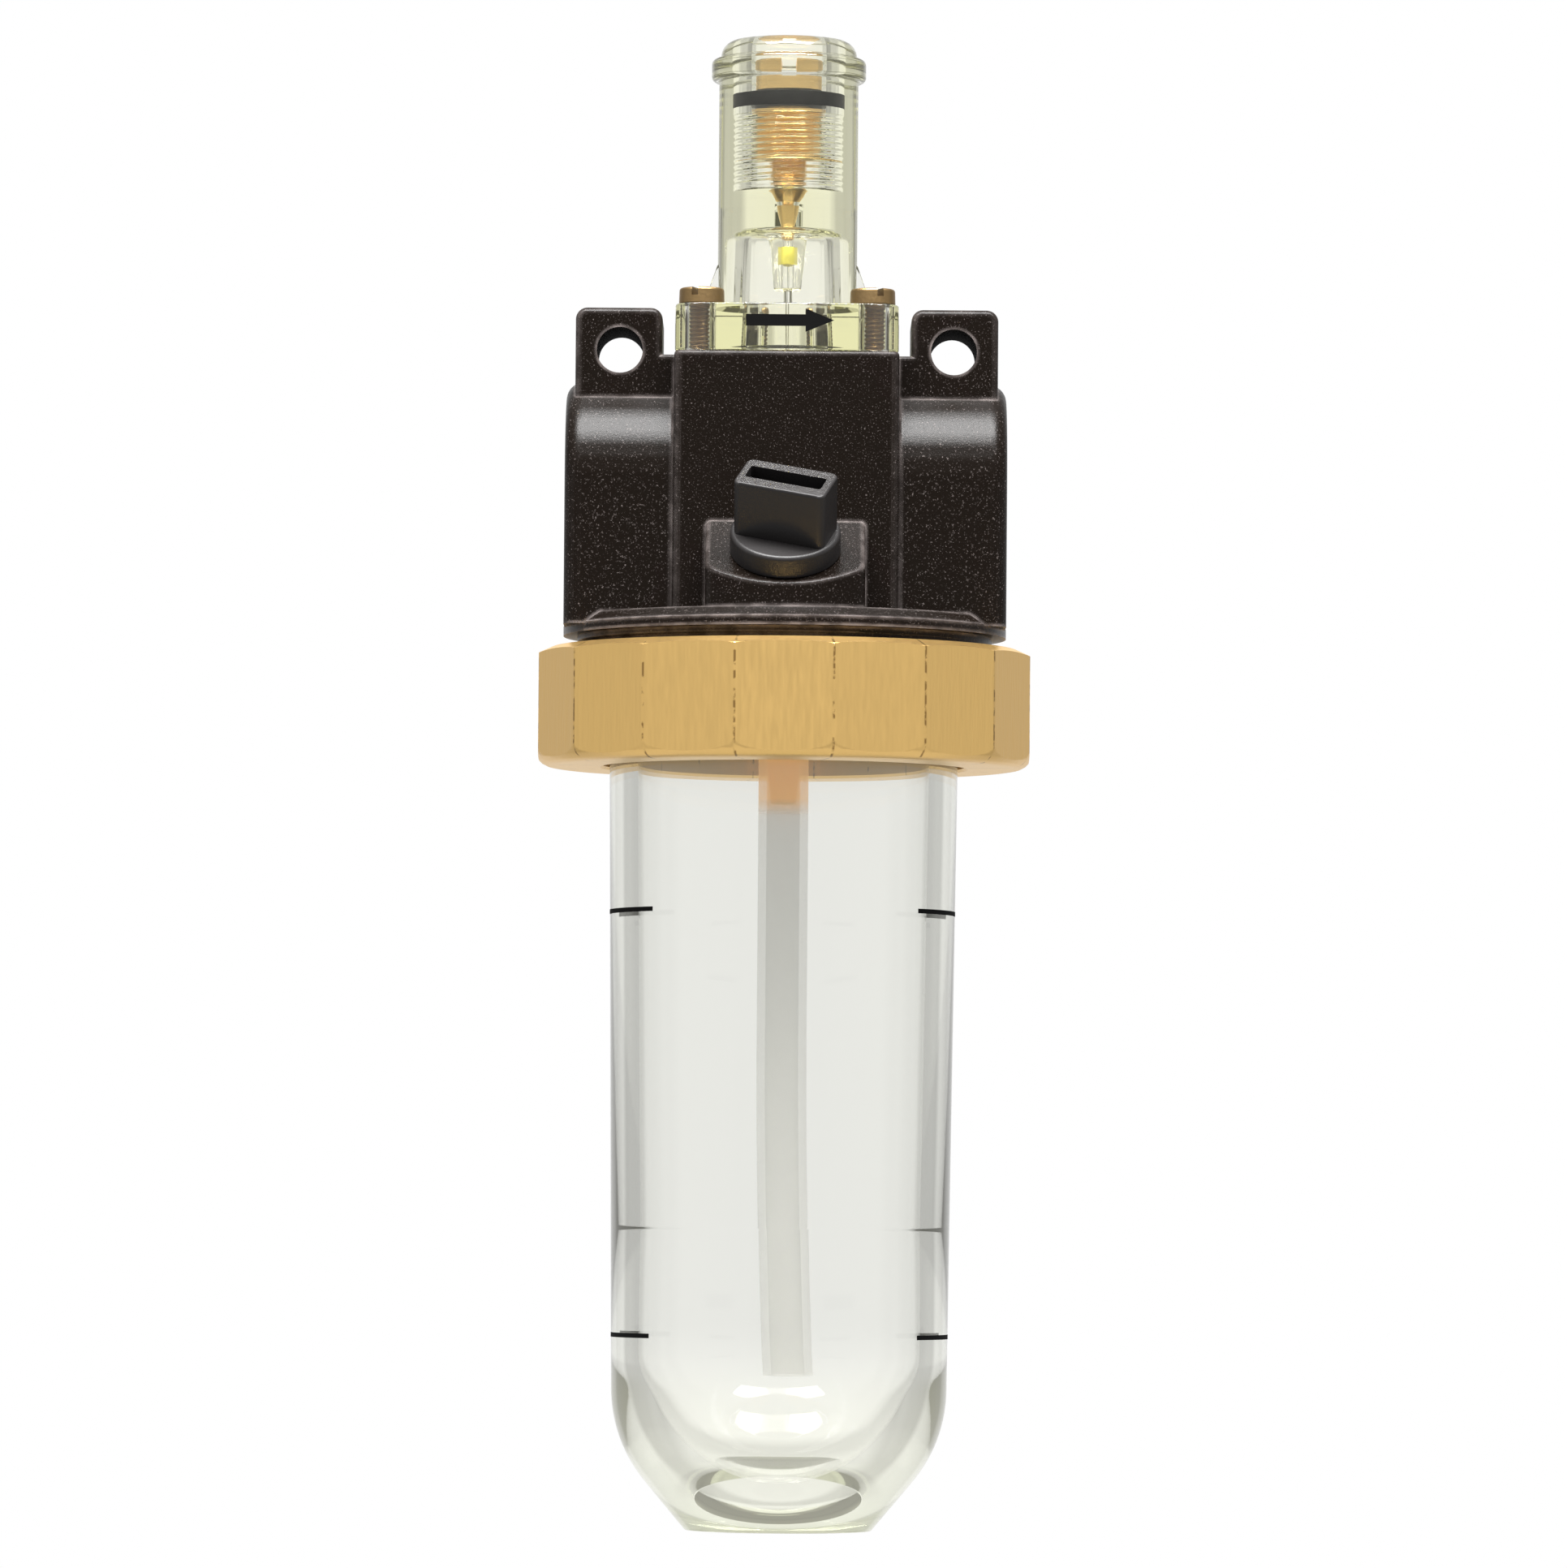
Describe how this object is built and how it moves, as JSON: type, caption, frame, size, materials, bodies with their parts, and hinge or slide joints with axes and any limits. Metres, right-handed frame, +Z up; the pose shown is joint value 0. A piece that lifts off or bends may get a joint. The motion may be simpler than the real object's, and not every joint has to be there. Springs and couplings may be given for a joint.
{
  "type": "air line lubricator",
  "caption": "Air line lubricator: dark cast body with threaded ports and fixing ears, clear sight dome with needle screw, slanted filling plug, ring nut and clear oil bowl.",
  "frame": {"origin": "midway between the two fixing holes of the ears, on the bowl axis, in the middle of the ears' thickness", "axes": "+X along the air flow from inlet to outlet, +Y from front to back, +Z up along the bowl axis"},
  "size_m": [0.0588, 0.0588, 0.1791],
  "materials": {
    "body_enamel": "dark brown hammertone enamel, semi-gloss, with fine light specks",
    "dome_clear": "clear moulded plastic with a faint yellow-green tint",
    "bowl_clear": "clear polycarbonate with black printed level marks",
    "jet_plastic": "bright yellow plastic",
    "seal_rubber": "black rubber, slightly glossy",
    "needle_brass": "turned brass",
    "screw_brass": "yellow-passivated screw",
    "fitting_brass": "turned brass",
    "nut_brass": "satin brass with fine upright tool marks",
    "ball_steel": "polished steel ball",
    "tube_nylon": "milky translucent nylon tube",
    "slip_plastic": "natural plastic slip ring",
    "plug_plastic": "black moulded plastic, satin"
  },
  "bodies": {
    "housing": {"body": "body_enamel", "sight_dome": "dome_clear", "drip_jet": "jet_plastic", "dome_gasket": "seal_rubber", "riser_seal": "seal_rubber", "dome_screw_1": "screw_brass", "dome_screw_2": "screw_brass", "dome_screw_3": "screw_brass", "dome_screw_4": "screw_brass", "venturi_insert": "fitting_brass", "tube_fitting": "fitting_brass", "ball_retainer": "fitting_brass", "dip_tube": "tube_nylon"},
    "needle_seal": {"adjusting_screw_o_ring": "seal_rubber"},
    "needle_screw": {"adjusting_screw": "needle_brass", "metering_needle": "needle_brass"},
    "plug_seal": {"fill_plug_o_ring": "seal_rubber"},
    "plug": {"fill_plug": "plug_plastic"},
    "oil_bowl": {"bowl": "bowl_clear", "bowl_o_ring": "seal_rubber", "slip_ring": "slip_plastic"},
    "nut": {"union_nut": "nut_brass"},
    "ball": {"check_ball": "ball_steel"}
  },
  "joints": [
    {"name": "needle_lift", "type": "slide", "parent": "housing", "child": "needle_seal", "axis": [0, 0, 1], "range_m": [-0.00056, 0.00169]},
    {"name": "needle_turn", "type": "hinge", "parent": "needle_seal", "child": "needle_screw", "pos_m": [0, 0, 0.033], "axis": [0, 0, 1], "range_deg": [-270.01, 810.01]},
    {"name": "plug_lift", "type": "slide", "parent": "housing", "child": "plug_seal", "axis": [0, -0.5736, 0.8192], "range_m": [0, 0.009]},
    {"name": "plug_turn", "type": "hinge", "parent": "plug_seal", "child": "plug", "pos_m": [0, -0.019, -0.0248], "axis": [0, -0.5736, 0.8192], "range_deg": [-0.01, 2160.01]},
    {"name": "bowl_lower", "type": "slide", "parent": "housing", "child": "oil_bowl", "axis": [0, 0, -1], "range_m": [0, 0.006]},
    {"name": "nut_turn", "type": "hinge", "parent": "oil_bowl", "child": "nut", "pos_m": [0, 0, -0.0425], "axis": [0, 0, -1], "range_deg": [-0.01, 1080.01]},
    {"name": "ball_lift", "type": "slide", "parent": "housing", "child": "ball", "axis": [0, 0, 1], "range_m": [0, 0.0014]}
  ],
  "couplings": [
    {"joint": "needle_turn", "follows": "needle_lift", "rad_per_m": 8377.6},
    {"joint": "plug_turn", "follows": "plug_lift", "rad_per_m": 4188.8},
    {"joint": "nut_turn", "follows": "bowl_lower", "rad_per_m": 3141.6}
  ]
}
